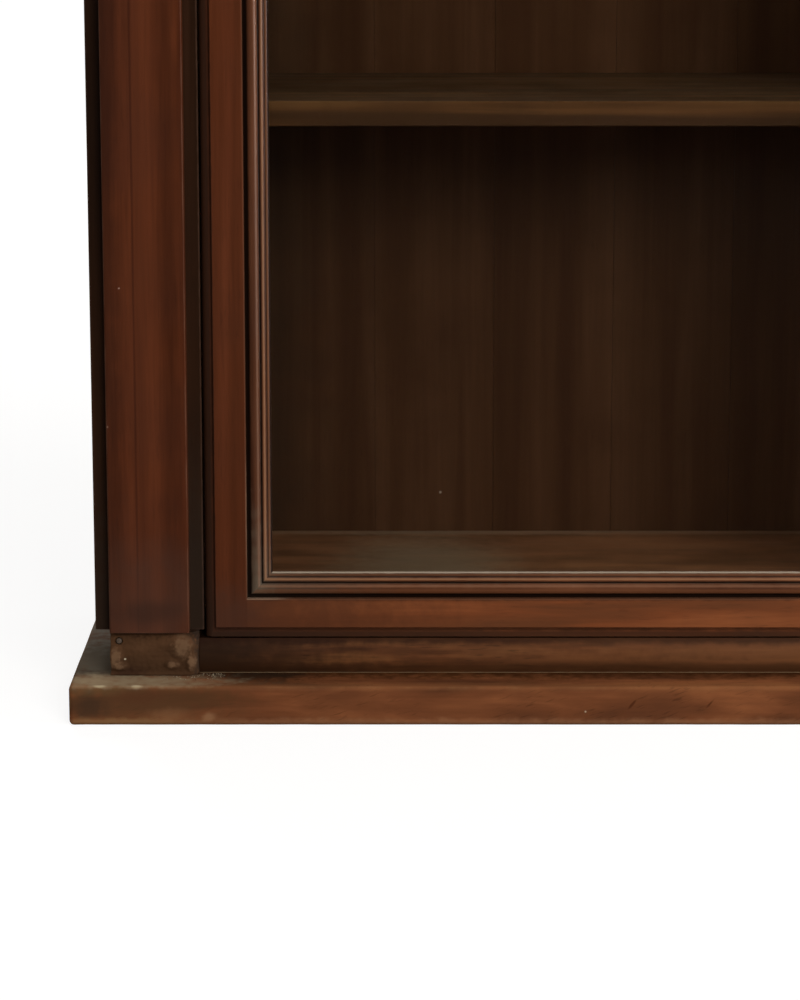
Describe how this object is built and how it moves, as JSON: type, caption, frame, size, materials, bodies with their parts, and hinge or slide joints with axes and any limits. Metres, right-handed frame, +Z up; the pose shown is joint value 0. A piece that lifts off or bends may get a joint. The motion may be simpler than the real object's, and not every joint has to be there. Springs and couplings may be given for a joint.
{
  "type": "bookcase with glass doors",
  "caption": "Tall wooden bookcase on a projecting plinth, with corner pilasters, two pivot-hung glazed doors in reeded mouldings, adjustable shelves, a lock and flush bolts",
  "frame": {"origin": "on the floor under the middle of the plinth", "axes": "+Z up, front faces -Y, +X to the right as seen from the front"},
  "size_m": [1.34, 0.392, 1.97],
  "materials": {
    "polished_wood": "worn shellac polish",
    "dark_wood": "dark stained, worn polish",
    "plinth_wood": "scuffed polish",
    "inside_wood": "dark oiled, matt",
    "clear_glass": "polished, slightly wavy",
    "aged_brass": "aged",
    "dark_steel": "dark, handled bright on the bow"
  },
  "bodies": {
    "case": {"back_boards": "inside_wood", "base_block_left": "plinth_wood", "base_block_right": "plinth_wood", "bed_moulding": "polished_wood", "bottom_board": "inside_wood", "capital_left": "polished_wood", "capital_right": "polished_wood", "ceiling_board": "inside_wood", "door_stops": "inside_wood", "fixed_pivots": "aged_brass", "frieze": "polished_wood", "front_post_left": "dark_wood", "front_post_right": "dark_wood", "neck_back_rail": "inside_wood", "neck_front_rail": "polished_wood", "neck_side_rail_left": "polished_wood", "neck_side_rail_right": "polished_wood", "pilaster_left": "polished_wood", "pilaster_right": "polished_wood", "plinth_back": "inside_wood", "plinth_front": "plinth_wood", "plinth_side_left": "plinth_wood", "plinth_side_right": "plinth_wood", "rear_stile_left": "polished_wood", "rear_stile_right": "polished_wood", "shelf_1": "inside_wood", "shelf_2": "inside_wood", "shelf_3": "inside_wood", "shelf_4": "inside_wood", "shelf_battens": "inside_wood", "shelf_racks": "inside_wood", "side_panel_left": "polished_wood", "side_panel_right": "polished_wood", "side_rails_left": "polished_wood", "side_rails_right": "polished_wood", "top_board": "plinth_wood", "top_rail": "polished_wood"},
    "left_door": {"left_door_bottom_rail": "polished_wood", "left_door_glass": "clear_glass", "left_door_glass_beads": "polished_wood", "left_door_glazing_moulding": "polished_wood", "left_door_hinge_stile": "polished_wood", "left_door_meeting_stile": "polished_wood", "left_door_pivot_leaves": "aged_brass", "left_door_top_rail": "polished_wood", "strike_plate": "aged_brass"},
    "right_door": {"right_door_bottom_rail": "polished_wood", "right_door_glass": "clear_glass", "right_door_glass_beads": "polished_wood", "right_door_glazing_moulding": "polished_wood", "right_door_hinge_stile": "polished_wood", "right_door_meeting_stile": "polished_wood", "right_door_pivot_leaves": "aged_brass", "right_door_top_rail": "polished_wood", "lock_case": "aged_brass", "escutcheon": "aged_brass"},
    "upper_bolt": {"flush_bolt_upper": "aged_brass"},
    "lower_bolt": {"flush_bolt_lower": "aged_brass"},
    "lock_bolt": {"lock_bolt": "aged_brass"},
    "key": {"key": "dark_steel"}
  },
  "joints": [
    {"name": "left_door_swing", "type": "hinge", "parent": "case", "child": "left_door", "pos_m": [-0.5501, -0.149, 0.0635], "axis": [0, 0, -1], "range_deg": [0, 110]},
    {"name": "right_door_swing", "type": "hinge", "parent": "case", "child": "right_door", "pos_m": [0.5501, -0.149, 0.0635], "axis": [0, 0, 1], "range_deg": [0, 110]},
    {"name": "upper_bolt_slide", "type": "slide", "parent": "left_door", "child": "upper_bolt", "axis": [0, 0, 1], "range_m": [0, 0.012]},
    {"name": "lower_bolt_slide", "type": "slide", "parent": "left_door", "child": "lower_bolt", "axis": [0, 0, -1], "range_m": [0, 0.012]},
    {"name": "key_turn", "type": "hinge", "parent": "right_door", "child": "key", "pos_m": [0.0182, -0.158, 0.9535], "axis": [0, 1, 0], "range_deg": [0, 180]},
    {"name": "lock_bolt_slide", "type": "slide", "parent": "right_door", "child": "lock_bolt", "axis": [-1, 0, 0], "range_m": [0, 0.012]}
  ],
  "couplings": [
    {"joint": "lock_bolt_slide", "follows": "key_turn", "m_per_rad": 0.0038187}
  ]
}
